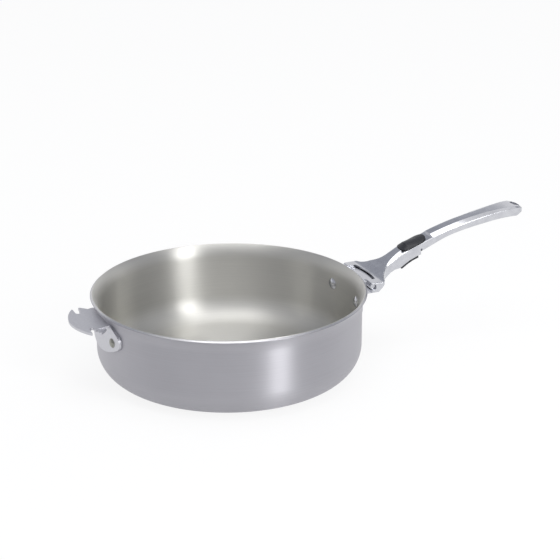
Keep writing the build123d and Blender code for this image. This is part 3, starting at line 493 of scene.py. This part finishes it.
def moulded_plastic(name, dark, light, roughness, grit_mm):
    """Black nylon from a spark-eroded mould: fine grit in tone and in relief."""
    material, tree, shader = start_material(name, {"IOR": NYLON_IOR, "Specular IOR Level": 0.5})
    place = add_node(tree, "ShaderNodeTexCoord").outputs["Object"]
    grit = add_node(
        tree, "ShaderNodeTexNoise", {"Vector": place, "Scale": 1 / (grit_mm * MM), "Detail": 4.0}
    ).outputs[0]
    colour = colour_ramp(tree, grit, [(0.3, dark), (0.7, light)])
    tree.links.new(colour, shader.inputs["Base Color"])
    low, high = roughness - NYLON_SPREAD, roughness + NYLON_SPREAD
    tree.links.new(value_range(tree, grit, low, high), shader.inputs["Roughness"])
    relief = {"Height": grit, "Strength": GRIT_BUMP, "Distance": GRIT_DEPTH_MM * MM}
    bump = add_node(tree, "ShaderNodeBump", relief)
    tree.links.new(bump.outputs[0], shader.inputs["Normal"])
    return material


black_nylon = moulded_plastic("moulded_black_nylon", "#1B1C21", "#27282E", 0.42, 0.5)
print("plastic:", black_nylon.name)

# %% [markdown]
# ## Which piece has which finish
#
# One table gives every piece its material by name, so that it is easy to see which pieces share
# one. The rounded copies take the material of the piece that they stand for.

# %% Give out the finishes
FINISHES = {
    "aluminium_core": bare_core,
    "outer_steel_ply": satin_outside,
    "inner_steel_ply": satin_inside,
    "helper_handle": matt_sheet,
    # the helper rivets' darker tone is painted shade
    "helper_rivets": rivet_painted_shade,
    "bracket_rivets": polished_fixings,
    "bracket_pins": polished_fixings,
    "housing_screws": polished_fixings,
    "pivot_pin": polished_fixings,
    "trigger_rivet": polished_fixings,
    "handle_bracket": polished_cast,
    "handle_casting": polished_cast,
    "latch_housing": polished_cast,
    "latch_lever": spring_wire,
    "latch_spring": spring_wire,
    "slider_spring": spring_wire,
    "slider_retainer": spring_wire,
    "slider_screw": spring_wire,
    "thumb_slider": black_nylon,
    "trigger": black_nylon,
}
for node_name, finish in FINISHES.items():
    nodes[node_name].data.materials.clear()
    nodes[node_name].data.materials.append(finish)
for node_name, piece in rounded.items():
    piece.data.materials.clear()
    piece.data.materials.append(FINISHES[node_name])
print("finishes given:", len(FINISHES))

# %% [markdown]
# ## The floor
#
# The photo has a white sweep that fades to pure white. The floor is a pale diffuse sheet that
# keeps the pan's shadow, mixed with a white glow: a large share of it for the camera, and a
# smaller one in reflections. A diffuse sheet alone would turn grey away from the lamps.

# %% Floor
GLOW_SEEN = 0.82
GLOW_MIRRORED = 0.45
GLOW_STRENGTH = 1.04
FLOOR_HALF = 6.0
FLOOR_DROP = 0.2 * MM


def make_floor():
    """A large square under the pan: diffuse white mixed with a plain white glow."""
    dull = {"Roughness": 0.9, "Specular IOR Level": 0.1}
    material, tree, shader = start_material("white_sweep", dull)
    shader.inputs["Base Color"].default_value = linear("#F2F2F2")
    rays = add_node(tree, "ShaderNodeLightPath")
    seen = add_node(
        tree,
        "ShaderNodeMath",
        {0: rays.outputs["Is Camera Ray"], 1: rays.outputs["Is Transmission Ray"]},
        operation="MAXIMUM",
    )
    seen = add_node(
        tree, "ShaderNodeMath", {0: seen.outputs[0], 1: GLOW_SEEN}, operation="MULTIPLY"
    )
    mirrored = add_node(
        tree,
        "ShaderNodeMath",
        {0: rays.outputs["Is Glossy Ray"], 1: GLOW_MIRRORED},
        operation="MULTIPLY",
    )
    share = add_node(
        tree, "ShaderNodeMath", {0: seen.outputs[0], 1: mirrored.outputs[0]}, operation="MAXIMUM"
    )
    white_light = {"Color": linear("#FFFFFF"), "Strength": GLOW_STRENGTH}
    glow = add_node(tree, "ShaderNodeEmission", white_light)
    mixed = add_node(
        tree, "ShaderNodeMixShader", {0: share.outputs[0], 1: shader.outputs[0], 2: glow.outputs[0]}
    )
    output = next(n for n in tree.nodes if n.type == "OUTPUT_MATERIAL")
    tree.links.new(mixed.outputs[0], output.inputs["Surface"])
    corners = [(x * FLOOR_HALF, y * FLOOR_HALF, 0) for x, y in ((-1, -1), (1, -1), (1, 1), (-1, 1))]
    mesh = bpy.data.meshes.new("white_sweep")
    mesh.from_pydata(corners, [], [(0, 1, 2, 3)])
    mesh.materials.append(material)
    floor = bpy.data.objects.new("white_sweep", mesh)
    floor.location.z = -FLOOR_DROP
    bpy.context.scene.collection.objects.link(floor)
    print(floor.name, "is", 2 * FLOOR_HALF, "m wide")


make_floor()

# %% [markdown]
# ## The room in the reflections
#
# Polished metal shows the room round it, so the room needs light and dark. Behind the pan it is
# bright low down and grey higher up. Before the pan it is dark low down and grey above, and the
# ceiling is bright all round. Two colour ramps on the ray's height, mixed by its heading, are
# enough for that. The camera itself sees plain white.

# %% World
ROOM_FROM, ROOM_TO = -0.25, 0.45
BEHIND_THE_PAN = [
    (0.00, "#F2F2F4"),
    (0.385, "#F2F2F4"),
    (0.44, "#A9ACB5"),
    (0.78, "#A2A4AB"),
    (0.87, "#EFEFF1"),
    (1.00, "#F4F4F6"),
]
BEFORE_THE_PAN = [
    (0.00, "#4E5058"),
    (0.10, "#6A6C74"),
    (0.22, "#B4B5BB"),
    (0.45, "#BEBFC4"),
    (0.78, "#B0B2B8"),
    (0.87, "#EFEFF1"),
    (1.00, "#F4F4F6"),
]


def make_world():
    """World that is white to the camera. For other rays it is two ramps on the ray's height,
    mixed by its heading towards the camera's side, from ROOM_FROM to ROOM_TO."""
    world = bpy.data.worlds.new("studio")
    world.use_nodes = True
    tree = world.node_tree
    tree.nodes.clear()
    way = add_node(tree, "ShaderNodeTexCoord").outputs["Generated"]
    height = add_node(tree, "ShaderNodeSeparateXYZ", {0: way}).outputs["Z"]
    towards = (math.sin(CAMERA_AZIMUTH), -math.cos(CAMERA_AZIMUTH), 0)
    side = add_node(
        tree, "ShaderNodeVectorMath", {0: way, 1: towards}, operation="DOT_PRODUCT"
    )
    heading = {"Value": side.outputs["Value"], "From Min": ROOM_FROM, "From Max": ROOM_TO}
    front = add_node(tree, "ShaderNodeMapRange", heading)
    behind = colour_ramp(tree, height, BEHIND_THE_PAN)
    before = colour_ramp(tree, height, BEFORE_THE_PAN)
    sky = add_node(
        tree, "ShaderNodeMix", {0: front.outputs[0], 6: behind, 7: before}, data_type="RGBA"
    ).outputs[2]
    rays = add_node(tree, "ShaderNodeLightPath")
    room = add_node(tree, "ShaderNodeBackground", {"Color": sky, "Strength": 1.0})
    white = add_node(tree, "ShaderNodeBackground", {"Color": linear("#FFFFFF"), "Strength": 1.0})
    shares = {0: rays.outputs["Is Camera Ray"], 1: room.outputs[0], 2: white.outputs[0]}
    mixed = add_node(tree, "ShaderNodeMixShader", shares)
    output = add_node(tree, "ShaderNodeOutputWorld")
    tree.links.new(mixed.outputs[0], output.inputs["Surface"])
    bpy.context.scene.world = world
    print("world:", world.name)


make_world()

# %% [markdown]
# ## Lamps
#
# One tall softbox to the right of the camera draws the streak down the pan's wall, and a wide
# one overhead lights the floor, the bowl and the tops of the handles. Both are lamps with a
# large face, because a small lamp would leave hard spots on the steel and a hard shadow.

# %% Lamps


def add_softbox(name, azimuth, elevation, distance, width, height, power):
    """A rectangular lamp that faces the rim. Azimuth counts from the camera, in degrees like the
    elevation. Distance, width and height are in metres and power is in watts."""
    a, e = CAMERA_AZIMUTH + math.radians(azimuth), math.radians(elevation)
    away = np.array([math.sin(a) * math.cos(e), -math.cos(a) * math.cos(e), math.sin(e)])
    side = np.array([math.cos(a), math.sin(a), 0.0])
    up = np.cross(away, side)
    data = bpy.data.lights.new(name, "AREA")
    data.shape = "RECTANGLE"
    data.size, data.size_y, data.energy = width, height, power
    lamp = bpy.data.objects.new(name, data)
    bpy.context.scene.collection.objects.link(lamp)
    matrix = np.eye(4)
    matrix[:3, 0], matrix[:3, 1], matrix[:3, 2] = side, up, away
    matrix[:3, 3] = away * distance + np.array([0, 0, RIM_HIGH])
    lamp.matrix_world = matrix.T.tolist()
    return lamp


LAMPS = {
    "strip_right": (41, 22, 2.2, 0.6, 1.8, 17),
    "overhead": (0, 80, 2.4, 1.8, 1.8, 14),
}
for lamp_name, lamp_sizes in LAMPS.items():
    add_softbox(lamp_name, *lamp_sizes)
    print("lamp:", lamp_name)

# %% [markdown]
# ## Last things
#
# The view transform stays Standard, so that colours come out as they were picked.

# %% Finish
bpy.context.scene.view_settings.view_transform = "Standard"
